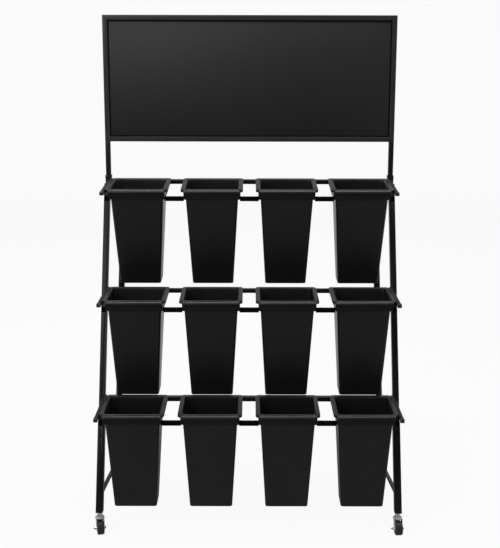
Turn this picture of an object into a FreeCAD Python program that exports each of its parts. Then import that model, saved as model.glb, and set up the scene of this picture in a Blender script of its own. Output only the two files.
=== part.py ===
import FreeCAD, Part
import math
import os

os.makedirs("parts", exist_ok=True)

V = FreeCAD.Vector

# A rolling stand that holds tapered buckets in three stepped tiers under a framed board.
# Lengths are in millimetres and angles in degrees. X is to the right, Y to the back, Z up.
# Pieces are built with Y = 0 at the back face of the top tier's front ties. They are then
# all moved by one amount, so that the origin is on the floor at the middle of the stand.

# Layout of the tiers
columns = 4
bucket_gap = 46.0
tier_step = 138.0
tier_heights = (1198.0, 822.5, 454.5)
tier_leans = (6.2, 2.5, 1.8)

# Carrier rings of flat bar, one round each bucket
ring_opening_width = 193.0
ring_opening_depth = 177.0
ring_bar = 4.0
ring_height = 32.0
ring_reach = 28.0
seat_height = 25.0

# Bars that carry the rings
tie_size = 15.0
rail_size = 15.0
tube_wall = 1.2
arm_width = 12.0
arm_height = 10.0
arm_rise = 2.5
end_tie_overlap = 4.0
arm_front_reach = 64.0
arm_tail = 8.0
gusset_thickness = 6.0
gusset_length = 40.0
gusset_shoulder = 20.0
gusset_drop = 44.0
gusset_foot = 26.0
arm_cap_wall = 1.0
arm_cap_nose = 3.0
arm_cap_grip = 12.0
arm_cap_radius = 2.5
arm_cap_fit = 0.05

# Buckets
bucket_depth = 362.0
bucket_wall = 2.2
bucket_floor = 3.0
bucket_foot_height = 4.0
bucket_foot_inset = 1.5
bucket_corner_radius = 12.0
bucket_fit = 0.75
side_taper = 0.057
front_taper = 0.135
back_taper = 0.09
rim_side_overhang = 10.5
rim_front_side_overhang = 2.5
rim_front_overhang = 16.6
rim_shoulder = 3.0
rim_back_overhang = 3.2
rim_thickness = 5.5
rim_lip = 4.5
rim_lip_wall = 2.5
rim_rail_gap = 1.0
rim_arm_gap = 1.0

# Legs and crossbars
leg_setback = 193.0
leg_slope = 0.3625
upper_leg_size = 22.0
leg_wall = 1.5
sleeve_fit = 0.2
sleeve_overlap = 80.0
sleeve_drop = 71.5
leg_top_rise = 23.0
rear_leg_size = 22.0
rear_leg_top_inset = 62.0
rear_leg_foot_inset = 10.0
crossbar_size = 16.0
rear_crossbar_height = 372.0
stretcher_size = 12.0
stretcher_front_height = 134.0
stretcher_back_height = 112.0

# Board and its frame
board_rise = 158.0
board_height = 460.0
frame_bar = 18.0
frame_depth = 18.0
frame_wall = 1.2
frame_lip_width = 4.0
frame_lip_thickness = 2.0
frame_lip_setback = 3.0
panel_thickness = 3.0
panel_fit = 0.3
panel_field_rise = 1.2
post_inset = 5.0
post_size = 18.0
socket_size = 22.0
socket_collar_size = 23.0
socket_collar_height = 15.0
socket_height = 32.0
socket_floor = 4.0
socket_fit = 0.2

# Fasteners
socket_screw_diameter = 6.0
arm_bolt_diameter = 6.0
arm_bolt_reach = 16.0
sleeve_bolt_diameter = 6.0
sleeve_bolt_spacing = 40.0
bolt_fit = 0.25
bolt_head_ratio = 1.7
bolt_head_height_ratio = 0.65

# Casters, with the direction in which each one trails as a turn from straight back
caster_headings = {"front": {"left": 196.0, "right": 187.0}, "rear": {"left": -12.0, "right": 10.0}}
wheel_diameter = 50.0
wheel_width = 23.0
wheel_edge_radius = 3.0
wheel_dish_depth = 2.0
wheel_hub_diameter = 20.0
wheel_rim_band = 8.0
wheel_side_fit = 0.8
axle_diameter = 6.0
axle_fit = 0.1
axle_head_height = 5.0
axle_nut_height = 6.0
axle_thread_end = 6.0
fork_plate = 2.0
fork_crown_gap = 8.0
fork_crown_thickness = 2.5
fork_crown_diameter = 34.0
fork_ear_radius = 9.0
fork_trail = 14.0
race_diameter = 26.0
race_height = 4.5
race_fit = 0.3
stem_diameter = 8.0
stem_depth = 18.0
stem_fit = 0.1
stem_flange_height = 2.5
stem_flange_diameter = 22.0
stem_nut_width = 14.0
stem_nut_height = 12.2
stem_rivet_diameter = 13.0
stem_rivet_height = 2.0
plug_flange = 3.0
plug_depth = 26.0
plug_fit = 0.1

# Helpers
overrun = 10.0
tiers = len(tier_leans)
sides = (("left", -1), ("right", 1))
pieces = {}


def column_x(column):
    return (column - (columns - 1) / 2) * bucket_pitch


def tier_y(tier):
    return -tier * tier_step


def tier_z(tier):
    return tier_heights[tier]


def tier_place(tier):
    lean = FreeCAD.Rotation(V(1, 0, 0), tier_leans[tier])
    return FreeCAD.Placement(V(0, tier_y(tier), tier_z(tier)), lean)


def placed(shape, placement):
    return shape.transformed(placement.toMatrix())


def block(low, high):
    size = [b - a for a, b in zip(low, high)]
    return Part.makeBox(size[0], size[1], size[2], V(*low))


def mirrored_block(side, low, high):
    # The corners are given for the right-hand side of the stand
    x_low, x_high = sorted((side * low[0], side * high[0]))
    return block((x_low, low[1], low[2]), (x_high, high[1], high[2]))


def prism(outline, bottom, top):
    wire = Part.makePolygon([V(x, y, bottom) for x, y in outline + outline[:1]])
    return Part.Face(wire).extrude(V(0, 0, top - bottom))


def bar_along(start, end, width, depth):
    # Width is across X or nearly so, and the bar's ends are square to its line
    line = end - start
    bar = Part.makeBox(width, depth, line.Length, V(-width / 2, -depth / 2, 0))
    return placed(bar, FreeCAD.Placement(start, FreeCAD.Rotation(V(0, 0, 1), line)))


def tube_along(start, end, width, depth, wall):
    inner = bar_along(start, end, width - 2 * wall, depth - 2 * wall)
    return bar_along(start, end, width, depth).cut(inner)


def hexagon(width, bottom, height):
    radius = width / math.sqrt(3)
    corners = [(radius * math.cos(math.radians(60 * i)), radius * math.sin(math.radians(60 * i)))
               for i in range(6)]
    return prism(corners, bottom, bottom + height)


def hex_bolt(diameter, length):
    # The shank runs down from the origin, and the head stands on it
    shank = Part.makeCylinder(diameter / 2, length, V(0, 0, -length))
    return shank.fuse(hexagon(diameter * bolt_head_ratio, 0, diameter * bolt_head_height_ratio))


def coped(bar, cores):
    # Trims a bar to the faces of the bars that it meets, and keeps the length between them
    return max(bar.cut(cores).Solids, key=lambda solid: solid.Volume)


def aimed(shape, point, direction):
    # Turns a shape's own Z to a direction and sets its origin on a point
    turn = FreeCAD.Rotation(V(0, 0, 1), direction)
    return placed(shape, FreeCAD.Placement(point, turn))


# Places that the frame's pieces share, in each tier's own axes: u runs back along the
# tier, w up from it, and both are 0 at the top back edge of the front ties
ring_half_width = ring_opening_width / 2 + ring_bar
rim_half_width = ring_half_width + rim_side_overhang
rim_front_half_width = ring_opening_width / 2 + rim_front_side_overhang
bucket_pitch = 2 * rim_half_width + bucket_gap
ring_front_u = -ring_reach
ring_back_u = ring_front_u + ring_opening_depth + 2 * ring_bar
rail_back_u = ring_back_u + rail_size
arm_inner_x = column_x(columns - 1) + rim_half_width + rim_arm_gap
arm_outer_x = arm_inner_x + arm_width
arm_top_w = seat_height + arm_rise
arm_low_w = arm_top_w - arm_height
leg_angle = math.atan(leg_slope)
leg_x = arm_outer_x + upper_leg_size / 2
leg_direction = V(0, math.sin(leg_angle), math.cos(leg_angle))
leg_level_depth = upper_leg_size / math.cos(leg_angle)
sleeve_top_height = tier_heights[-1] - sleeve_drop
leg_top_height = tier_heights[0] + leg_top_rise
fork_crown_height = wheel_diameter + fork_crown_gap
stem_flange_low = fork_crown_height + fork_crown_thickness + race_height + race_fit
plug_low = stem_flange_low + stem_flange_height + stem_nut_height
leg_foot_height = plug_low + plug_flange


def leg_centre(height):
    y = leg_setback + (height - tier_heights[0]) * leg_slope + leg_level_depth / 2
    return V(leg_x, y, height)


back_y = leg_centre(leg_top_height).y
lower_leg_size = upper_leg_size + 2 * (leg_wall + sleeve_fit)
rear_leg_top_x = leg_x - rear_leg_top_inset
rear_leg_foot_x = leg_x - rear_leg_foot_inset
rear_leg_top = V(rear_leg_top_x, back_y, leg_top_height)
rear_leg_foot = V(rear_leg_foot_x, back_y, leg_foot_height)
post_x = leg_x - post_inset
board_width = 2 * post_x + post_size
board_foot_height = leg_top_height + board_rise


def sided(point, side):
    return V(side * point.x, point.y, point.z)


# Carrier rings, ties and rails of each tier
def carrier_ring(column):
    x = column_x(column)
    inner = ring_opening_width / 2
    low = seat_height - ring_height
    front = block((x - ring_half_width, ring_front_u, low),
                  (x + ring_half_width, ring_front_u + ring_bar, seat_height))
    back = block((x - ring_half_width, ring_back_u - ring_bar, low),
                 (x + ring_half_width, ring_back_u, seat_height))
    left = block((x - ring_half_width, ring_front_u + ring_bar, low),
                 (x - inner, ring_back_u - ring_bar, seat_height))
    right = block((x + inner, ring_front_u + ring_bar, low),
                  (x + ring_half_width, ring_back_u - ring_bar, seat_height))
    return [front, back, left, right]


def tie_between(column):
    start = column_x(column) + ring_half_width
    end = column_x(column + 1) - ring_half_width
    outer = block((start, -tie_size, -tie_size), (end, 0, 0))
    inner = block((start, tube_wall - tie_size, tube_wall - tie_size), (end, -tube_wall, -tube_wall))
    return outer.cut(inner)


def end_tie(side):
    # Runs out under the arm and up to it
    start = column_x(columns - 1) + ring_half_width
    end = arm_inner_x + end_tie_overlap
    level = mirrored_block(side, (start, -tie_size, -tie_size), (end, 0, 0))
    upright = mirrored_block(side, (arm_inner_x, -tie_size, -tie_size), (end, 0, arm_low_w))
    return level.fuse(upright).removeSplitter()


def rear_rail():
    low_w = seat_height - rail_size
    outer = block((-arm_inner_x, ring_back_u, low_w), (arm_inner_x, rail_back_u, seat_height))
    inner = block((-arm_inner_x, ring_back_u + tube_wall, low_w + tube_wall),
                  (arm_inner_x, rail_back_u - tube_wall, seat_height - tube_wall))
    return outer.cut(inner)


# Side arms, each with a gusset under its back end that is bolted to the upper leg, and a
# cap on its front tip
def arm_bolt_place(tier):
    # Where the middle of the gusset's foot crosses the middle line of the leg
    lean = math.radians(tier_leans[tier])
    middle_w = arm_low_w - (gusset_shoulder + gusset_drop) / 2
    offset = leg_centre(tier_z(tier)).y - tier_y(tier)
    across = offset + middle_w * (leg_slope * math.cos(lean) + math.sin(lean))
    u = across / (math.cos(lean) - leg_slope * math.sin(lean))
    return V(0, u, middle_w)


def side_arm(tier, side):
    bolt_point = arm_bolt_place(tier)
    tail_u = rail_back_u + arm_tail
    arm = mirrored_block(side, (arm_inner_x, -arm_front_reach, arm_low_w),
                         (arm_outer_x, tail_u, arm_top_w))
    heel_u = bolt_point.y + gusset_foot / 2
    shoulder_w = arm_low_w - gusset_shoulder
    foot_w = arm_low_w - gusset_drop
    outline = [(tail_u - gusset_length, arm_low_w), (tail_u, arm_low_w),
               (tail_u + gusset_shoulder, shoulder_w), (heel_u, shoulder_w),
               (heel_u, foot_w), (heel_u - gusset_foot, foot_w)]
    inner_x = side * arm_outer_x - (gusset_thickness if side > 0 else 0)
    wire = Part.makePolygon([V(inner_x, u, w) for u, w in outline + outline[:1]])
    arm = arm.fuse(Part.Face(wire).extrude(V(gusset_thickness, 0, 0)))
    hole = Part.makeCylinder(arm_bolt_diameter / 2 + bolt_fit, gusset_thickness + 2 * overrun)
    start = V(side * (arm_outer_x - gusset_thickness - overrun), bolt_point.y, bolt_point.z)
    return arm.cut(aimed(hole, start, V(side, 0, 0))).removeSplitter()


def arm_end_cap(side):
    wall = arm_cap_wall + arm_cap_fit
    nose_u = -arm_front_reach - arm_cap_nose
    outer = mirrored_block(side, (arm_inner_x - wall, nose_u, arm_low_w - wall),
                           (arm_outer_x + wall, arm_cap_grip - arm_front_reach, arm_top_w + wall))
    nose_edges = [e for e in outer.Edges if e.CenterOfMass.y < nose_u + arm_cap_fit]
    outer = outer.makeFillet(arm_cap_radius, nose_edges)
    pocket = mirrored_block(side, (arm_inner_x - arm_cap_fit, -arm_front_reach, arm_low_w - arm_cap_fit),
                            (arm_outer_x + arm_cap_fit, overrun - arm_front_reach + arm_cap_grip,
                             arm_top_w + arm_cap_fit))
    return outer.cut(pocket)


def arm_bolt(tier, side):
    bolt_point = arm_bolt_place(tier)
    bolt = hex_bolt(arm_bolt_diameter, gusset_thickness + arm_bolt_reach)
    head_x = side * (arm_outer_x - gusset_thickness)
    return aimed(bolt, V(head_x, bolt_point.y, bolt_point.z), V(-side, 0, 0))


# Buckets, each with a flat rim that hooks over its ring and the rear rail
def bucket_outline(level, inset):
    # Rounded rectangle round the bucket's body at a level, as a closed wire
    drop = seat_height - level
    half = ring_opening_width / 2 - bucket_fit - side_taper * drop - inset
    front = ring_front_u + ring_bar + bucket_fit + front_taper * drop + inset
    back = ring_back_u - ring_bar - bucket_fit - back_taper * drop - inset
    radius = bucket_corner_radius - inset
    near = radius * (1 - math.sqrt(0.5))
    corners = [(-half, front, 1, 1), (half, front, -1, 1), (half, back, -1, -1), (-half, back, 1, -1)]
    starts = [(0, 1), (1, 0), (0, 1), (1, 0)]
    arcs = []
    for (x, u, sx, su), (ax, au) in zip(corners, starts):
        first = V(x + sx * ax * radius, u + su * au * radius, level)
        middle = V(x + sx * near, u + su * near, level)
        last = V(x + sx * au * radius, u + su * ax * radius, level)
        arcs.append((first, middle, last))
    edges = []
    for i, (first, middle, last) in enumerate(arcs):
        edges.append(Part.Arc(first, middle, last).toShape())
        edges.append(Part.LineSegment(last, arcs[(i + 1) % len(arcs)][0]).toShape())
    return Part.Wire(edges)


def tapered(bottom, top, inset):
    return Part.makeLoft([bucket_outline(bottom, inset), bucket_outline(top, inset)], True, True)


def rim_outline(inset):
    shoulder_u = ring_front_u - rim_shoulder
    front_u = ring_front_u - rim_front_overhang
    nose = rim_front_half_width - inset
    half = rim_half_width - inset
    back_u = rail_back_u + rim_back_overhang - inset
    right = [(nose, front_u + inset), (nose, shoulder_u + inset), (half, shoulder_u + inset), (half, back_u)]
    return right + [(-x, u) for x, u in reversed(right)]


def bucket():
    rim_top = seat_height + rim_thickness
    bottom = seat_height - bucket_depth
    foot_top = bottom + bucket_foot_height
    rim = prism(rim_outline(0), seat_height - rim_lip, rim_top)
    rim = rim.cut(prism(rim_outline(rim_lip_wall), seat_height - rim_lip - overrun, seat_height))
    rail_space = block((-bucket_pitch, ring_back_u - rim_rail_gap, seat_height - rim_lip - overrun),
                       (bucket_pitch, rail_back_u + rim_back_overhang - rim_lip_wall, seat_height))
    body = tapered(foot_top, rim_top, 0).fuse(tapered(bottom, foot_top, bucket_foot_inset))
    body = body.fuse(rim.cut(rail_space))
    return body.cut(tapered(bottom + bucket_floor, rim_top + overrun, bucket_wall)).removeSplitter()


# Legs: an inclined pair in two telescoping lengths, and a splayed pair at the back
def level_slice(shape, low, high):
    reach = board_width
    return shape.common(block((-reach, -reach, low), (reach, reach, high)))


def leg_line(low, high):
    return leg_centre(low), leg_centre(high)


def sleeve_bolt_points():
    middle = sleeve_top_height - sleeve_overlap / 2
    return [leg_centre(middle + share * sleeve_bolt_spacing) for share in (-0.5, 0.5)]


def sleeve_bolt_holes(side):
    across = V(0, -math.cos(leg_angle), math.sin(leg_angle))
    hole = Part.makeCylinder(sleeve_bolt_diameter / 2 + bolt_fit, 2 * lower_leg_size)
    return [aimed(hole, sided(p, side) - across * lower_leg_size, across) for p in sleeve_bolt_points()]


def upper_leg(side):
    low, high = leg_line(sleeve_top_height - sleeve_overlap, leg_top_height)
    start = sided(low, side)
    end = sided(high, side) + leg_direction * upper_leg_size
    leg = tube_along(start, end, upper_leg_size, upper_leg_size, leg_wall)
    leg = level_slice(leg, 0, leg_top_height)
    for tier in range(tiers):
        bolt_point = tier_place(tier).multVec(arm_bolt_place(tier))
        start = V(side * (arm_outer_x - overrun), bolt_point.y, bolt_point.z)
        hole = Part.makeCylinder(arm_bolt_diameter / 2 + bolt_fit, overrun + upper_leg_size / 2)
        leg = leg.cut(aimed(hole, start, V(side, 0, 0)))
    for hole in sleeve_bolt_holes(side):
        leg = leg.cut(hole)
    return leg


def lower_leg(side):
    low, high = leg_line(leg_foot_height, sleeve_top_height)
    start = sided(low, side) - leg_direction * lower_leg_size
    leg = tube_along(start, sided(high, side), lower_leg_size, lower_leg_size, leg_wall)
    leg = level_slice(leg, leg_foot_height, leg_top_height)
    for hole in sleeve_bolt_holes(side):
        leg = leg.cut(hole)
    return leg


def sleeve_bolts(side):
    # The heads are on the back face of the lower leg
    outward = V(0, math.cos(leg_angle), -math.sin(leg_angle))
    bolt = hex_bolt(sleeve_bolt_diameter, lower_leg_size)
    return [aimed(bolt, sided(p, side) + outward * (lower_leg_size / 2), outward)
            for p in sleeve_bolt_points()]


def rear_leg(side):
    line = rear_leg_top - rear_leg_foot
    line.normalize()
    start = sided(rear_leg_foot - line * rear_leg_size, side)
    end = sided(rear_leg_top + line * rear_leg_size, side)
    leg = tube_along(start, end, rear_leg_size, rear_leg_size, leg_wall)
    return level_slice(leg, leg_foot_height, leg_top_height)


def rear_leg_core(side):
    return bar_along(sided(rear_leg_foot, side), sided(rear_leg_top, side), rear_leg_size, rear_leg_size)


def top_crossbar():
    half = post_x - socket_size / 2
    y = back_y
    z = leg_top_height
    size = crossbar_size
    outer = block((-half, y - size / 2, z), (half, y + size / 2, z + size))
    inner = block((-half, y - size / 2 + tube_wall, z + tube_wall),
                  (half, y + size / 2 - tube_wall, z + size - tube_wall))
    return outer.cut(inner)


def rear_crossbar():
    half = rear_leg_foot_x
    z = rear_crossbar_height
    bar = tube_along(V(-half, back_y, z), V(half, back_y, z), crossbar_size, crossbar_size, tube_wall)
    return coped(bar, [rear_leg_core(side) for side_name, side in sides])


def rear_leg_x(height):
    share = (height - leg_foot_height) / (leg_top_height - leg_foot_height)
    return rear_leg_foot_x + share * (rear_leg_top_x - rear_leg_foot_x)


def base_stretcher(side):
    front = leg_centre(stretcher_front_height)
    back = V(rear_leg_x(stretcher_back_height), back_y, stretcher_back_height)
    bar = tube_along(sided(front, side), sided(back, side), stretcher_size, stretcher_size, tube_wall)
    low, high = leg_line(leg_foot_height, sleeve_top_height)
    core = bar_along(sided(low, side), sided(high, side), lower_leg_size, lower_leg_size)
    return coped(bar, [core, rear_leg_core(side)])


# Board: a mitred frame of square tube with a thin inner lip. A sheet lies behind the lip, and
# its field stands up inside the lip's opening
front_face_y = back_y - frame_depth / 2
board_top_height = board_foot_height + board_height
lip_front_y = front_face_y + frame_lip_setback


def mitred_bar(length, reach):
    # Lies along X with its outer edge on the origin line, and the board is towards +Z
    outer = block((-length / 2, 0, 0), (length / 2, frame_depth, frame_bar))
    inner = block((-length / 2, frame_wall, frame_wall),
                  (length / 2, frame_depth - frame_wall, frame_bar - frame_wall))
    lip = block((-length / 2, frame_lip_setback, frame_bar - frame_wall),
                (length / 2, frame_lip_setback + frame_lip_thickness, frame_bar + frame_lip_width))
    bar = outer.cut(inner).fuse(lip)
    corners = [(-length / 2, 0), (length / 2, 0), (length / 2 - reach, reach), (reach - length / 2, reach)]
    wire = Part.makePolygon([V(x, -overrun, z) for x, z in corners + corners[:1]])
    mask = Part.Face(wire).extrude(V(0, frame_depth + 2 * overrun, 0))
    return bar.common(mask)


def board_frame():
    reach = frame_bar + frame_lip_width
    middle = board_foot_height + board_height / 2
    bars = []
    for turn, length, offset in ((0, board_width, board_height / 2), (90, board_height, board_width / 2),
                                 (180, board_width, board_height / 2), (270, board_height, board_width / 2)):
        spin = FreeCAD.Rotation(V(0, 1, 0), turn)
        low_side = spin.multVec(V(0, 0, -offset))
        at = V(low_side.x, front_face_y, middle + low_side.z)
        bars.append(placed(mitred_bar(length, reach), FreeCAD.Placement(at, spin)))
    return bars


def board_slab(margin, front_y, rear_y):
    # A flat slab whose edges lie inside the board's outline by a margin
    half = board_width / 2 - margin
    return block((-half, front_y, board_foot_height + margin), (half, rear_y, board_top_height - margin))


def board_panel():
    margin = frame_bar + panel_fit
    sheet_y = lip_front_y + frame_lip_thickness
    sheet = board_slab(margin, sheet_y, sheet_y + panel_thickness)
    field = board_slab(margin + frame_lip_width, sheet_y - panel_field_rise, sheet_y)
    return sheet.fuse(field).removeSplitter()


def board_post(side):
    foot = V(side * post_x, back_y, leg_top_height + socket_floor)
    head = V(side * post_x, back_y, board_foot_height)
    return tube_along(foot, head, post_size, post_size, leg_wall)


def post_socket(side):
    x = side * post_x
    foot = V(x, back_y, leg_top_height)
    head = V(x, back_y, leg_top_height + socket_height)
    neck = V(x, back_y, leg_top_height + socket_height - socket_collar_height)
    bore = post_size + 2 * socket_fit
    body = bar_along(foot, head, socket_size, socket_size)
    body = body.fuse(bar_along(neck, head, socket_collar_size, socket_collar_size))
    body = body.cut(bar_along(foot + V(0, 0, socket_floor), head, bore, bore))
    hole = Part.makeCylinder(socket_screw_diameter / 2, socket_size)
    return body.cut(aimed(hole, socket_screw_point(side) - V(0, socket_size / 2, 0), V(0, 1, 0)))


def socket_screw_point(side):
    height = leg_top_height + socket_height - socket_collar_height / 2
    return V(side * post_x, back_y + socket_collar_size / 2, height)


def socket_screw(side):
    length = (socket_collar_size - post_size) / 2
    return aimed(hex_bolt(socket_screw_diameter, length), socket_screw_point(side), V(0, 1, 0))


# Casters under the four legs
def foot_place(row, side):
    return V(side * leg_x, leg_centre(leg_foot_height).y, 0) if row == "front" else \
        V(side * rear_leg_foot_x, back_y, 0)


def caster_turned(shape, row, side_name, side):
    # Turns a piece made round the stem's axis to its caster's heading, under its own leg
    turn = FreeCAD.Rotation(V(0, 0, 1), caster_headings[row][side_name])
    return placed(shape, FreeCAD.Placement(foot_place(row, side), turn))


def leg_plug(row, side):
    # The core follows the leg's inside, and the flange covers the leg's cut end
    if row == "front":
        size = lower_leg_size
        line = leg_direction
        level_depth = lower_leg_size / math.cos(leg_angle)
        foot = sided(leg_centre(leg_foot_height), side)
    else:
        size = rear_leg_size
        line = rear_leg_top - rear_leg_foot
        line.normalize()
        line = sided(line, side)
        level_depth = rear_leg_size
        foot = sided(rear_leg_foot, side)
    inner = size - 2 * (leg_wall + plug_fit)
    core = bar_along(foot - line * size, foot + line * (plug_depth + size), inner, inner)
    core = level_slice(core, leg_foot_height, leg_foot_height + plug_depth)
    half = size / 2
    flange = block((foot.x - half, foot.y - level_depth / 2, plug_low),
                   (foot.x + half, foot.y + level_depth / 2, leg_foot_height))
    at = foot_place(row, side) + V(0, 0, plug_low)
    bore = Part.makeCylinder(stem_diameter / 2 + stem_fit, stem_depth, at)
    return core.fuse(flange).cut(bore).removeSplitter()


def caster_stem(row, side):
    # Threaded stem, nut, race flange and the rivet head that holds the fork on
    at = foot_place(row, side)
    rivet_top = fork_crown_height - race_fit
    stem = Part.makeCylinder(stem_diameter / 2, plug_low + stem_depth - stem_fit - rivet_top,
                             V(0, 0, rivet_top))
    flange = Part.makeCylinder(stem_flange_diameter / 2, stem_flange_height, V(0, 0, stem_flange_low))
    nut = hexagon(stem_nut_width, stem_flange_low + stem_flange_height, stem_nut_height)
    rivet = Part.makeCylinder(stem_rivet_diameter / 2, stem_rivet_height,
                              V(0, 0, rivet_top - stem_rivet_height))
    stem = stem.fuse([flange, nut, rivet]).removeSplitter()
    stem.translate(at)
    return stem


fork_inner_half = wheel_width / 2 + wheel_side_fit
fork_outer_half = fork_inner_half + fork_plate
wheel_radius = wheel_diameter / 2


def caster_fork():
    crown_top = fork_crown_height + fork_crown_thickness
    crown_half = fork_crown_diameter / 2
    crown = Part.makeCylinder(crown_half, fork_crown_thickness, V(0, 0, fork_crown_height))
    strap = block((-fork_outer_half, -crown_half / 2, fork_crown_height),
                  (fork_outer_half, fork_trail, crown_top))
    race = Part.makeCylinder(race_diameter / 2, race_height, V(0, 0, crown_top))
    fork = crown.fuse([strap, race])
    eye = V(0, fork_trail, wheel_radius)
    profile = [V(0, -crown_half / 2, crown_top), V(0, fork_trail, crown_top),
               V(0, fork_trail + fork_ear_radius, wheel_radius),
               V(0, fork_trail - fork_ear_radius, wheel_radius)]
    for x in (-fork_outer_half, fork_inner_half):
        cheek = Part.Face(Part.makePolygon(profile + profile[:1])).extrude(V(fork_plate, 0, 0))
        cheek = cheek.fuse(Part.makeCylinder(fork_ear_radius, fork_plate, eye, V(1, 0, 0)))
        cheek.translate(V(x, 0, 0))
        fork = fork.fuse(cheek)
    fork = fork.cut(Part.makeCylinder(stem_diameter / 2 + race_fit, fork_crown_height))
    fork = fork.cut(Part.makeCylinder(stem_diameter / 2 + race_fit, race_height + fork_crown_thickness,
                                      V(0, 0, fork_crown_height)))
    fork = fork.cut(Part.makeCylinder(axle_diameter / 2, 2 * fork_outer_half,
                                      eye - V(fork_outer_half, 0, 0), V(1, 0, 0)))
    return fork.removeSplitter()


def caster_axle():
    nut_width = axle_diameter * bolt_head_ratio
    thread_end = axle_nut_height + axle_thread_end
    pin = Part.makeCylinder(axle_diameter / 2, 2 * fork_outer_half + thread_end, V(0, 0, -fork_outer_half))
    head = hexagon(nut_width, -fork_outer_half - axle_head_height, axle_head_height)
    nut = hexagon(nut_width, fork_outer_half, axle_nut_height)
    return aimed(pin.fuse([head, nut]).removeSplitter(), V(0, fork_trail, wheel_radius), V(1, 0, 0))


def caster_wheel():
    half = wheel_width / 2
    wheel = Part.makeCylinder(wheel_radius, wheel_width, V(0, 0, -half))
    wheel = wheel.makeFillet(wheel_edge_radius, [e for e in wheel.Edges if isinstance(e.Curve, Part.Circle)])
    for low in (-half, half - wheel_dish_depth):
        dish = Part.makeCylinder(wheel_radius - wheel_rim_band, wheel_dish_depth, V(0, 0, low))
        wheel = wheel.cut(dish.cut(Part.makeCylinder(wheel_hub_diameter / 2, wheel_dish_depth, V(0, 0, low))))
    wheel = wheel.cut(Part.makeCylinder(axle_diameter / 2 + axle_fit, wheel_width, V(0, 0, -half)))
    return aimed(wheel, V(0, fork_trail, wheel_radius), V(1, 0, 0))


# The whole stand, piece by piece
def build_tiers():
    for tier in range(tiers):
        place = tier_place(tier)
        name = "tier_%d_" % (tier + 1)
        rings = [bar for column in range(columns) for bar in carrier_ring(column)]
        ties = [tie_between(column) for column in range(columns - 1)]
        ties += [end_tie(side) for side_name, side in sides]
        pieces[name + "carrier_rings"] = [placed(s, place) for s in rings]
        pieces[name + "front_ties"] = [placed(s, place) for s in ties]
        pieces[name + "rear_rail"] = [placed(rear_rail(), place)]
        for side_name, side in sides:
            pieces[name + "arm_" + side_name] = [placed(side_arm(tier, side), place)]
            pieces.setdefault("arm_end_caps", []).append(placed(arm_end_cap(side), place))
            pieces.setdefault("arm_bolts", []).append(placed(arm_bolt(tier, side), place))
        for column in range(columns):
            shift = FreeCAD.Placement(V(column_x(column), 0, 0), FreeCAD.Rotation())
            pieces[name + "bucket_%d" % (column + 1)] = [placed(bucket(), place.multiply(shift))]


def build_frame():
    for side_name, side in sides:
        pieces["upper_leg_" + side_name] = [upper_leg(side)]
        pieces["lower_leg_" + side_name] = [lower_leg(side)]
        pieces["rear_leg_" + side_name] = [rear_leg(side)]
        pieces["base_stretcher_" + side_name] = [base_stretcher(side)]
        pieces["board_post_" + side_name] = [board_post(side)]
        pieces.setdefault("post_sockets", []).append(post_socket(side))
        pieces.setdefault("socket_screws", []).append(socket_screw(side))
        pieces.setdefault("sleeve_bolts", []).extend(sleeve_bolts(side))
    pieces["top_crossbar"] = [top_crossbar()]
    pieces["rear_crossbar"] = [rear_crossbar()]
    pieces["board_frame"] = board_frame()
    pieces["board_panel"] = [board_panel()]


def build_casters():
    for row in ("front", "rear"):
        for side_name, side in sides:
            name = "caster_%s_%s_" % (row, side_name)
            pieces.setdefault("leg_plugs", []).append(leg_plug(row, side))
            pieces.setdefault("caster_stems", []).append(caster_stem(row, side))
            for part_name, make in (("fork", caster_fork), ("axle", caster_axle), ("wheel", caster_wheel)):
                pieces[name + part_name] = [caster_turned(make(), row, side_name, side)]


def middle():
    boxes = [shape.optimalBoundingBox() for group in pieces.values() for shape in group]
    x = (min(b.XMin for b in boxes) + max(b.XMax for b in boxes)) / 2
    y = (min(b.YMin for b in boxes) + max(b.YMax for b in boxes)) / 2
    return V(x, y, 0)


build_tiers()
build_frame()
build_casters()
shift = -middle()
for node, group in pieces.items():
    for shape in group:
        shape.translate(shift)
    whole = group[0] if len(group) == 1 else Part.makeCompound(group)
    whole.exportStep("parts/%s.step" % node)
print("nodes", len(pieces), "shift", round(shift.x, 3), round(shift.y, 3))
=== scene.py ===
import math
import bpy
from mathutils import Matrix, Vector


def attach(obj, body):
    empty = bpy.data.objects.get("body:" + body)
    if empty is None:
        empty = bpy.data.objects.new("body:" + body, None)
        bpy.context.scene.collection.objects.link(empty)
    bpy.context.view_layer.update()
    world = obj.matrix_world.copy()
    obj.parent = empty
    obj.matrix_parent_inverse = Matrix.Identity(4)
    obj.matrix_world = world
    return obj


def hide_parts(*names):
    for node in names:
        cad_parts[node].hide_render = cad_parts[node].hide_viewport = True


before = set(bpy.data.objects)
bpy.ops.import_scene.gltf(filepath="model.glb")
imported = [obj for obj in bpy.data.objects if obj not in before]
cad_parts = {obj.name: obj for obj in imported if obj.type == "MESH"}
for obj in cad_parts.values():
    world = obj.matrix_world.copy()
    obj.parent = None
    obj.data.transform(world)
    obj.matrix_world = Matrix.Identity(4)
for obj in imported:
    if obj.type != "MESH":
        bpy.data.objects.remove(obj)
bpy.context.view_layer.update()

# The photograph's view. The camera stands a little over shoulder height, three and a half
# metres in front of the stand, and looks slightly down through a short telephoto lens.
scene = bpy.context.scene
photo_focal_px, photo_height_px, sensor_mm = 981.6, 548, 36
camera_place = Vector((0.0031, -3.4546, 1.613))
camera_dip, camera_roll = 11.29, 0.12
camera_data = bpy.data.cameras.new("photo_camera")
camera_data.sensor_width = sensor_mm
camera_data.lens = photo_focal_px * sensor_mm / photo_height_px
camera = bpy.data.objects.new("photo_camera", camera_data)
scene.collection.objects.link(camera)
camera.matrix_world = (Matrix.Translation(camera_place)
                       @ Matrix.Rotation(math.radians(90 - camera_dip), 4, "X")
                       @ Matrix.Rotation(math.radians(camera_roll), 4, "Z"))
scene.camera = camera
scene.view_settings.view_transform = "Standard"


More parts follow.
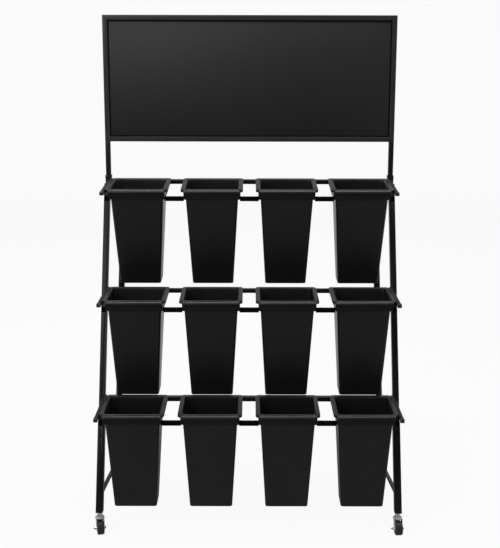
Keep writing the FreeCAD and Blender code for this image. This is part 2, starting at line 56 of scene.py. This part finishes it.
# A pale studio: a seamless floor that turns up into the backdrop, and a white surround that
# shiny surfaces see dimmer on the photographer's side. The camera sees white all round. Two
# soft boxes and a weak fill light the stand.
floor_reach, backdrop_place, backdrop_height = 12.0, 8.0, 7.0
floor_middle, far_edge_slack = backdrop_place - floor_reach, 0.01
cove_radius, cove_steps = 1.2, 12
surround_light, surround_white = 0.42, (1, 1, 1, 1)
background_white = (0.975, 0.972, 0.974, 1)
dim_up_to, bright_from, dim_side, bright_side = -0.6, 0.3, 0.10, 1.0
paper_white, seen_paper_white, seen_share = (0.9, 0.9, 0.9, 1), (1, 0.997, 0.999, 1), 0.93
sheen_from, sheen_to, floor_sheen, far_floor_sheen = 0.6, 1.8, 0.25, 1.0
backdrop_from, backdrop_to, backdrop_sheen = 0.7, 1.5, 0.42


def along(axis, nodes, links, low, high, low_value, high_value):
    # A value that changes evenly between two places on an axis, in the object's coordinates
    direction = nodes.new("ShaderNodeTexCoord")
    parts = nodes.new("ShaderNodeSeparateXYZ")
    links.new(direction.outputs["Object"], parts.inputs[0])
    ramp = nodes.new("ShaderNodeMapRange")
    ramp.inputs["From Min"].default_value = low
    ramp.inputs["From Max"].default_value = high
    ramp.inputs["To Min"].default_value = low_value
    ramp.inputs["To Max"].default_value = high_value
    links.new(parts.outputs[axis], ramp.inputs["Value"])
    return ramp.outputs["Result"]


def white_where_seen(nodes, links, lit, seen, seen_strength, sheen):
    # Shows one shader to light and the other to the camera and to shiny surfaces, which see
    # it less bright than the camera does
    path = nodes.new("ShaderNodeLightPath")
    shown_to = path.outputs["Is Camera Ray"]
    for kind in ("Is Glossy Ray", "Is Transmission Ray"):
        either = nodes.new("ShaderNodeMath")
        either.operation = "MAXIMUM"
        links.new(shown_to, either.inputs[0])
        links.new(path.outputs[kind], either.inputs[1])
        shown_to = either.outputs[0]
    bright = nodes.new("ShaderNodeMath")
    bright.operation = "MAXIMUM"
    links.new(path.outputs["Is Camera Ray"], bright.inputs[0])
    links.new(sheen, bright.inputs[1])
    links.new(bright.outputs[0], seen_strength)
    mix = nodes.new("ShaderNodeMixShader")
    links.new(shown_to, mix.inputs[0])
    links.new(lit.outputs[0], mix.inputs[1])
    links.new(seen.outputs[0], mix.inputs[2])
    return mix


world = bpy.data.worlds.new("white_surround")
scene.world = world
world.use_nodes = True
sky_nodes, sky_links = world.node_tree.nodes, world.node_tree.links
sky_nodes.clear()
lit = sky_nodes.new("ShaderNodeBackground")
lit.inputs["Color"].default_value = surround_white
lit.inputs["Strength"].default_value = surround_light
seen = sky_nodes.new("ShaderNodeBackground")
seen.inputs["Color"].default_value = background_white
sky_sheen = along("Y", sky_nodes, sky_links, dim_up_to, bright_from, dim_side, bright_side)
world_mix = white_where_seen(sky_nodes, sky_links, lit, seen, seen.inputs["Strength"], sky_sheen)
world_out = sky_nodes.new("ShaderNodeOutputWorld")
sky_links.new(world_mix.outputs[0], world_out.inputs["Surface"])

bpy.ops.object.select_all(action="DESELECT")
bpy.ops.mesh.primitive_plane_add(size=2 * floor_reach, location=(0, floor_middle, 0))
floor = bpy.context.object
floor.name = "studio_floor"
bpy.ops.object.mode_set(mode="EDIT")
bpy.ops.mesh.select_all(action="DESELECT")
bpy.ops.mesh.select_mode(type="EDGE")
bpy.ops.object.mode_set(mode="OBJECT")
for edge in floor.data.edges:
    ends = [floor.data.vertices[i].co.y for i in edge.vertices]
    edge.select = min(ends) > floor_reach - far_edge_slack
bpy.ops.object.mode_set(mode="EDIT")
bpy.ops.mesh.spin(steps=cove_steps, angle=math.radians(90),
                  center=(0, backdrop_place, cove_radius), axis=(1, 0, 0))
bpy.ops.mesh.extrude_region_move(TRANSFORM_OT_translate={"value": (0, 0, backdrop_height)})
bpy.ops.object.mode_set(mode="OBJECT")
bpy.ops.object.shade_smooth()
floor_paint = bpy.data.materials.new("floor_paper")
floor_paint.use_nodes = True
floor_nodes, floor_links = floor_paint.node_tree.nodes, floor_paint.node_tree.links
floor_nodes.clear()
paper = floor_nodes.new("ShaderNodeBsdfDiffuse")
paper.inputs["Color"].default_value = paper_white
shown = floor_nodes.new("ShaderNodeEmission")
shown.inputs["Color"].default_value = seen_paper_white
floor_out = floor_nodes.new("ShaderNodeOutputMaterial")
seen_paper = floor_nodes.new("ShaderNodeMixShader")
seen_paper.inputs[0].default_value = seen_share
floor_links.new(paper.outputs[0], seen_paper.inputs[1])
floor_links.new(shown.outputs[0], seen_paper.inputs[2])
least_sheen = floor_nodes.new("ShaderNodeMath")
least_sheen.operation = "MINIMUM"
away = along("Y", floor_nodes, floor_links, sheen_from - floor_middle, sheen_to - floor_middle,
             floor_sheen, far_floor_sheen)
floor_links.new(away, least_sheen.inputs[0])
upwards = along("Z", floor_nodes, floor_links, backdrop_from, backdrop_to,
                far_floor_sheen, backdrop_sheen)
floor_links.new(upwards, least_sheen.inputs[1])
floor_mix = white_where_seen(floor_nodes, floor_links, paper, seen_paper,
                             shown.inputs["Strength"], least_sheen.outputs[0])
floor_links.new(floor_mix.outputs[0], floor_out.inputs["Surface"])
floor.data.materials.append(floor_paint)

for lamp_name, place, aim, width, height, power in (
        ("key_softbox", (-2.4, -3.7, 3.1), (0, 0, 1.2), 2.4, 2.2, 62),
        ("overhead_softbox", (0, -0.2, 3.9), (0, 0, 0.8), 3.0, 1.4, 110),
        ("right_fill", (3.2, -2.2, 1.4), (0, 0, 0.7), 1.2, 1.6, 8)):
    lamp_data = bpy.data.lights.new(lamp_name, "AREA")
    lamp_data.shape = "RECTANGLE"
    lamp_data.size = width
    lamp_data.size_y = height
    lamp_data.energy = power
    lamp = bpy.data.objects.new(lamp_name, lamp_data)
    scene.collection.objects.link(lamp)
    lamp.location = place
    lamp.rotation_euler = (Vector(place) - Vector(aim)).to_track_quat("Z", "Y").to_euler()


# Upper legs: an inclined pair of 22 mm square steel tube, powder coated satin black after
# welding. Their corners are rolled, and the coat has a fine orange-peel grain.
tube_corner, tube_corner_steps = 0.0018, 3
drift_scale, drift_detail, drift_low, drift_high = 9, 4, 0.8, 1.2
grain_detail, grain_strength = 3, 0.5
mitre_slant, doubles_gap = 0.6, 0.00002
flat_angle, corner_angle, smooth_angle = math.radians(1), math.radians(40), math.radians(50)


def coated(name, colour, dullness, shine, grain, peel):
    # A satin coat: its tone drifts slowly, and a fine bump breaks its highlights up
    paint = bpy.data.materials.new(name)
    paint.use_nodes = True
    nodes, links = paint.node_tree.nodes, paint.node_tree.links
    shader = nodes["Principled BSDF"]
    shader.inputs["Specular IOR Level"].default_value = shine
    place = nodes.new("ShaderNodeTexCoord")
    cloud = nodes.new("ShaderNodeTexNoise")
    cloud.inputs["Scale"].default_value = drift_scale
    cloud.inputs["Detail"].default_value = drift_detail
    links.new(place.outputs["Object"], cloud.inputs["Vector"])
    tone = nodes.new("ShaderNodeMapRange")
    tone.inputs["To Min"].default_value = drift_low
    tone.inputs["To Max"].default_value = drift_high
    links.new(cloud.outputs["Fac"], tone.inputs["Value"])
    tint = nodes.new("ShaderNodeVectorMath")
    tint.operation = "SCALE"
    tint.inputs[0].default_value = colour
    links.new(tone.outputs["Result"], tint.inputs["Scale"])
    links.new(tint.outputs["Vector"], shader.inputs["Base Color"])
    fine = nodes.new("ShaderNodeTexNoise")
    fine.inputs["Scale"].default_value = grain
    fine.inputs["Detail"].default_value = grain_detail
    links.new(place.outputs["Object"], fine.inputs["Vector"])
    dull = nodes.new("ShaderNodeMapRange")
    dull.inputs["To Min"].default_value = dullness[0]
    dull.inputs["To Max"].default_value = dullness[1]
    links.new(fine.outputs["Fac"], dull.inputs["Value"])
    links.new(dull.outputs["Result"], shader.inputs["Roughness"])
    bump = nodes.new("ShaderNodeBump")
    bump.inputs["Strength"].default_value = grain_strength
    bump.inputs["Distance"].default_value = peel
    links.new(fine.outputs["Fac"], bump.inputs["Height"])
    links.new(bump.outputs["Normal"], shader.inputs["Normal"])
    return paint


def rounded(node, body, paint, radius, steps=2, mitred=False):
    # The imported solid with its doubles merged, its flat faces made whole and its edges rolled.
    # On a mitred frame the faces inside the joints, where two bars meet, are taken out first.
    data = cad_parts[node].data.copy()
    data.materials.clear()
    piece = bpy.data.objects.new(node + "_finished", data)
    scene.collection.objects.link(piece)
    bpy.ops.object.select_all(action="DESELECT")
    piece.select_set(True)
    bpy.context.view_layer.objects.active = piece
    bpy.ops.object.mode_set(mode="EDIT")
    bpy.ops.mesh.select_mode(type="FACE")
    bpy.ops.mesh.select_all(action="DESELECT")
    bpy.ops.object.mode_set(mode="OBJECT")
    for face in data.polygons:
        face.select = mitred and min(abs(face.normal.x), abs(face.normal.z)) > mitre_slant
    bpy.ops.object.mode_set(mode="EDIT")
    bpy.ops.mesh.delete(type="FACE")
    bpy.ops.mesh.select_all(action="SELECT")
    bpy.ops.mesh.remove_doubles(threshold=doubles_gap)
    bpy.ops.mesh.dissolve_limited(angle_limit=flat_angle)
    bpy.ops.object.mode_set(mode="OBJECT")
    rolled = piece.modifiers.new("rolled_edges", "BEVEL")
    rolled.width = radius
    rolled.segments = steps
    rolled.limit_method = "ANGLE"
    rolled.angle_limit = corner_angle
    bpy.ops.object.modifier_apply(modifier=rolled.name)
    bpy.ops.object.shade_smooth_by_angle(angle=smooth_angle)
    data.materials.append(paint)
    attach(piece, body)
    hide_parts(node)
    return piece


tube_coat = coated("satin_black_powder_coat", colour=(0.0035, 0.0035, 0.0037),
                   dullness=(0.34, 0.46), shine=0.3, grain=900, peel=0.00006)
for side in ("left", "right"):
    rounded("upper_leg_" + side, "frame", tube_coat, tube_corner,
            tube_corner_steps)

# Lower legs, rear legs, crossbars and base stretchers: more coated square tube, welded. The
# lower legs are a size larger and sleeve the upper ones, and the rear pair splays outwards.
bar_corner = 0.0012
for node in ("lower_leg_left", "lower_leg_right", "rear_leg_left", "rear_leg_right"):
    rounded(node, "frame", tube_coat, tube_corner, tube_corner_steps)
for node in ("top_crossbar", "rear_crossbar", "base_stretcher_left", "base_stretcher_right"):
    rounded(node, "frame", tube_coat, bar_corner)

# Board posts and their sockets: square tube that drops into a welded socket with a thicker
# collar, where a screw from behind clamps it.
post_corner, post_corner_steps, socket_corner = 0.0015, 3, 0.0012
for node in ("board_post_left", "board_post_right"):
    rounded(node, "frame", tube_coat, post_corner, post_corner_steps)
rounded("post_sockets", "frame", tube_coat, socket_corner)

# Board: four mitred bars of coated square tube with a thin lip round the opening. A smooth
# charcoal sheet lies behind the lip and takes posters or signs.
board_corner, board_corner_steps, sheet_edge = 0.0016, 3, 0.0003
board_coat = coated("satin_black_board_coat", colour=(0.013, 0.013, 0.0134),
                    dullness=(0.4, 0.5), shine=0.45, grain=900, peel=0.00006)
rounded("board_frame", "frame", board_coat, board_corner, board_corner_steps,
        mitred=True)
sheet_coat = coated("charcoal_display_sheet", colour=(0.0075, 0.0075, 0.0078),
                    dullness=(0.5, 0.58), shine=0.4, grain=500, peel=0.00003)
rounded("board_panel", "frame", sheet_coat, sheet_edge)

# Board shade strip: a matte black strip, 5 mm wide, that lies on the lip and covers the edge
# of the sheet. It is painted shade for the shadowed groove between the frame's bars and the
# sheet.
shade_strip_x, shade_strip_back_y, shade_strip_z = 0.00038, 0.25242, 1.609
opening_width, opening_height = 1.046, 0.424
shade_strip_width, shade_strip_thickness, shade_strip_edge = 0.005, 0.0008, 0.0002
bpy.ops.object.select_all(action="DESELECT")
bpy.ops.mesh.primitive_plane_add(size=1, location=(shade_strip_x, shade_strip_back_y, shade_strip_z),
                                 rotation=(math.radians(90), 0, 0))
shade_strip = bpy.context.object
shade_strip.name = "board_painted_shade_strip"
shade_strip.scale = (opening_width, opening_height, 1)
bpy.ops.object.transform_apply(location=True, rotation=True, scale=True)
bpy.ops.object.mode_set(mode="EDIT")
bpy.ops.mesh.select_all(action="SELECT")
bpy.ops.mesh.inset(thickness=shade_strip_width)
bpy.ops.mesh.delete(type="FACE")
bpy.ops.mesh.select_all(action="SELECT")
bpy.ops.mesh.extrude_region_move(TRANSFORM_OT_translate={"value": (0, -shade_strip_thickness, 0)})
bpy.ops.mesh.select_all(action="SELECT")
bpy.ops.mesh.normals_make_consistent(inside=False)
bpy.ops.object.mode_set(mode="OBJECT")
soft_edge = shade_strip.modifiers.new("soft_edge", "BEVEL")
soft_edge.width = shade_strip_edge
bpy.ops.object.modifier_apply(modifier=soft_edge.name)
bpy.ops.object.shade_smooth_by_angle(angle=smooth_angle)
# The strip's near-black matte colour is painted shade for that groove's shadow.
shade_strip_paint = coated("painted_shade_black", colour=(0.002, 0.002, 0.002),
                     dullness=(0.7, 0.85), shine=0.1, grain=400, peel=0.00003)
shade_strip.data.materials.append(shade_strip_paint)
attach(shade_strip, "frame")

# Tiers: rings of flat bar round each bucket, square ties between them, a square rear rail
# and a solid arm down each side, welded into one shelf and bolted to the legs.
ring_corner, ring_corner_steps, tie_corner, arm_corner = 0.0014, 3, 0.0012, 0.001
# The ties take a darker, duller copy of the black coat: painted shade for the shadow they lie in
# under the bucket rims.
shaded_tie_coat = coated("tie_coat_painted_shade", colour=(0.0015, 0.0015, 0.0015),
                  dullness=(0.55, 0.68), shine=0.05, grain=900, peel=0.00006)
for tier in (1, 2, 3):
    shelf = "tier_%d_" % tier
    rounded(shelf + "carrier_rings", "frame", tube_coat, ring_corner,
            ring_corner_steps)
    rounded(shelf + "front_ties", "frame", shaded_tie_coat, tie_corner)
    rounded(shelf + "rear_rail", "frame", tube_coat, bar_corner)
    for side in ("left", "right"):
        rounded(shelf + "arm_" + side, "frame", tube_coat, arm_corner)

# End caps and leg plugs: black moulded plastic, pressed onto the arms' tips and into the
# feet of the legs.
cap_corner, plug_corner = 0.0006, 0.0005
cap_plastic = coated("black_cap_plastic", colour=(0.009, 0.009, 0.009),
                     dullness=(0.45, 0.55), shine=0.4, grain=700, peel=0.00005)
rounded("arm_end_caps", "frame", cap_plastic, cap_corner)
rounded("leg_plugs", "frame", cap_plastic, plug_corner)

# Bolts and screws: blackened steel with hexagon heads. They fix the arms to the legs, hold
# the legs' sleeves at their height and clamp the board's posts in the sockets.
bolt_edge = 0.0004
black_steel = coated("blackened_bolt_steel", colour=(0.02, 0.02, 0.021),
                     dullness=(0.3, 0.42), shine=0.6, grain=1200, peel=0.00003)
for node in ("arm_bolts", "sleeve_bolts", "socket_screws"):
    rounded(node, "frame", black_steel, bolt_edge)

# Buckets: injection-moulded black plastic, tapered so that they nest. A flat rim with a
# turned-down edge hooks over the ring and the rear rail, and rolls over in front into a
# rounded bar that serves as a grip.
tier_places = ((0.0454, 1.198), (-0.0926, 0.8225), (-0.2306, 0.4545))
tier_leans = (6.2, 2.5, 1.8)
stand_middle_x, bucket_pitch, middle_column = 0.0004, 0.268, 2.5
bucket_wall, rolled_radius, rolled_steps = 0.0022, 0.0026, 4
# An outline is a half width, a front and a back
floor_outline, floor_level = (0.0731, 0.0274, 0.1177), -0.3340
floor_corner_radius, floor_corner_steps = 0.0075, 5
mouth_outline, wall_top_level = (0.0937, -0.0214, 0.1503), 0.0270
wall_shares = (0.02, 0.35, 0.7, 0.97, 1.0)
rim_outline, rim_top_level, rim_edge_level = (0.1110, -0.0310, 0.1752), 0.0305, 0.0288
mouth_roll = ((0.0006, 0.0292), (0.0022, rim_top_level))
rim_slope = ((0.45, rim_top_level), (0.55, 0.0296))
grip_reach, rim_front_slack = 0.0136, 0.0001
grip_roll = ((0.40, 0.0012), (0.22, -0.0006), (0.18, -0.0018), (0.14, -0.0030), (0.06, -0.0026))
lip_first_drop, lip_low_level = 0.004, 0.0205


def to_outline(old, new, old_level, new_level):
    # Extrudes the selected edge loop from one outline and level to the next
    rise = new_level - old_level
    bpy.ops.mesh.extrude_region_move(TRANSFORM_OT_translate={"value": (0, 0, rise)})
    old_depth, new_depth = old[2] - old[1], new[2] - new[1]
    bpy.ops.transform.resize(value=(new[0] / old[0], new_depth / old_depth, 1),
                             center_override=(0, (old[1] + old[2]) / 2, new_level))
    bpy.ops.transform.translate(value=(0, (new[1] + new[2] - old[1] - old[2]) / 2, 0))


def grown(outline, out):
    return (outline[0] + out, outline[1] - out, outline[2] + out)


def between(first, second, share):
    return tuple(a + (b - a) * share for a, b in zip(first, second))


bpy.ops.object.select_all(action="DESELECT")
floor_place = (0, (floor_outline[1] + floor_outline[2]) / 2, floor_level)
bpy.ops.mesh.primitive_plane_add(size=1, location=floor_place)
model_bucket = bpy.context.object
model_bucket.scale = (2 * floor_outline[0], floor_outline[2] - floor_outline[1], 1)
bpy.ops.object.transform_apply(location=True, rotation=False, scale=True)
bpy.ops.object.mode_set(mode="EDIT")
bpy.ops.mesh.select_mode(type="VERT")
bpy.ops.mesh.select_all(action="SELECT")
bpy.ops.mesh.bevel(offset=floor_corner_radius, offset_pct=0, segments=floor_corner_steps,
                   affect="VERTICES")
bpy.ops.mesh.select_all(action="SELECT")
bpy.ops.mesh.select_mode(type="EDGE")
bpy.ops.mesh.region_to_loop()
outlines = [(between(floor_outline, mouth_outline, share),
             floor_level + share * (wall_top_level - floor_level)) for share in wall_shares]
outlines += [(grown(mouth_outline, out), roll_level) for out, roll_level in mouth_roll]
outlines += [(between(mouth_outline, rim_outline, share), slope_level)
             for share, slope_level in rim_slope]
outlines.append((rim_outline, rim_edge_level))
outline, level = floor_outline, floor_level
for new_outline, new_level in outlines:
    to_outline(outline, new_outline, level, new_level)
    outline, level = new_outline, new_level
bpy.ops.object.mode_set(mode="OBJECT")
for edge in model_bucket.data.edges:
    ends = [model_bucket.data.vertices[i].co.y for i in edge.vertices]
    edge.select = max(ends) < rim_outline[1] + rim_front_slack
bpy.ops.object.mode_set(mode="EDIT")
for share, rise in grip_roll:
    grip_step = (0, -share * grip_reach, rise)
    bpy.ops.mesh.extrude_region_move(TRANSFORM_OT_translate={"value": grip_step})
bpy.ops.mesh.select_all(action="SELECT")
bpy.ops.mesh.region_to_loop()
bpy.ops.mesh.extrude_region_move(TRANSFORM_OT_translate={"value": (0, 0, -lip_first_drop)})
bpy.ops.transform.resize(value=(1, 1, 0), center_override=(0, 0, lip_low_level))
bpy.ops.mesh.select_all(action="SELECT")
bpy.ops.mesh.normals_make_consistent(inside=False)
bpy.ops.object.mode_set(mode="OBJECT")
for name, kind, settings in (
        ("rolled_edges", "BEVEL", {"width": rolled_radius, "segments": rolled_steps,
                                   "limit_method": "ANGLE", "angle_limit": math.radians(38)}),
        ("wall", "SOLIDIFY", {"thickness": bucket_wall, "offset": 1, "use_even_offset": True})):
    modifier = model_bucket.modifiers.new(name, kind)
    for setting, value in settings.items():
        setattr(modifier, setting, value)
    bpy.ops.object.modifier_apply(modifier=name)
bpy.ops.object.shade_smooth_by_angle(angle=math.radians(40))
bucket_plastic = coated("moulded_black_plastic", colour=(0.0078, 0.0078, 0.0077),
                        dullness=(0.34, 0.44), shine=0.34, grain=260, peel=0.00008)
model_bucket.data.materials.append(bucket_plastic)
for tier, ((tier_y, tier_z), lean) in enumerate(zip(tier_places, tier_leans), start=1):
    for column in (1, 2, 3, 4):
        name = "tier_%d_bucket_%d" % (tier, column)
        bucket = bpy.data.objects.new("moulded_" + name, model_bucket.data.copy())
        scene.collection.objects.link(bucket)
        column_x = stand_middle_x + (column - middle_column) * bucket_pitch
        bucket.data.transform(Matrix.Translation((column_x, tier_y, tier_z))
                              @ Matrix.Rotation(math.radians(lean), 4, "X"))
        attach(bucket, name)
        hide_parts(name)
bpy.data.objects.remove(model_bucket)

# Casters: dark rubber wheels on hexagon bolts in bright zinc-plated pressed forks, which
# swivel on stems that screw up into the leg plugs. A pressed web between a fork's cheeks
# closes the gap over the wheel.
front_row_y, rear_row_y, caster_edge = -0.1541, 0.2584, 0.0004
web_size, web_middle = (0.0245, 0.002, 0.016), (0, -0.0086, 0.0502)
zinc = coated("bright_zinc_plate", colour=(0.68, 0.69, 0.7),
              dullness=(0.16, 0.3), shine=0.5, grain=160, peel=0.00004)
zinc.node_tree.nodes["Principled BSDF"].inputs["Metallic"].default_value = 0.82
tread = coated("dark_grey_tread", colour=(0.02, 0.02, 0.0206),
               dullness=(0.42, 0.56), shine=0.4, grain=300, peel=0.0001)
rounded("caster_stems", "frame", zinc, caster_edge)
for corner, stem_x, stem_y, heading in (
        ("front_left", -0.5366, front_row_y, 196), ("front_right", 0.5374, front_row_y, 187),
        ("rear_left", -0.5266, rear_row_y, -12), ("rear_right", 0.5274, rear_row_y, 10)):
    name = "caster_%s_" % corner
    fork = rounded(name + "fork", name + "swivel", zinc, caster_edge)
    bpy.ops.mesh.primitive_cube_add(size=1, location=web_middle)
    web = bpy.context.object
    web.scale = web_size
    bpy.ops.object.transform_apply(location=True, rotation=False, scale=True)
    web.data.transform(Matrix.Translation((stem_x, stem_y, 0))
                       @ Matrix.Rotation(math.radians(heading), 4, "Z"))
    web.data.materials.append(zinc)
    fork.select_set(True)
    bpy.context.view_layer.objects.active = fork
    bpy.ops.object.join()
    rounded(name + "axle", name + "swivel", zinc, caster_edge)
    rounded(name + "wheel", name + "wheel", tread, caster_edge)
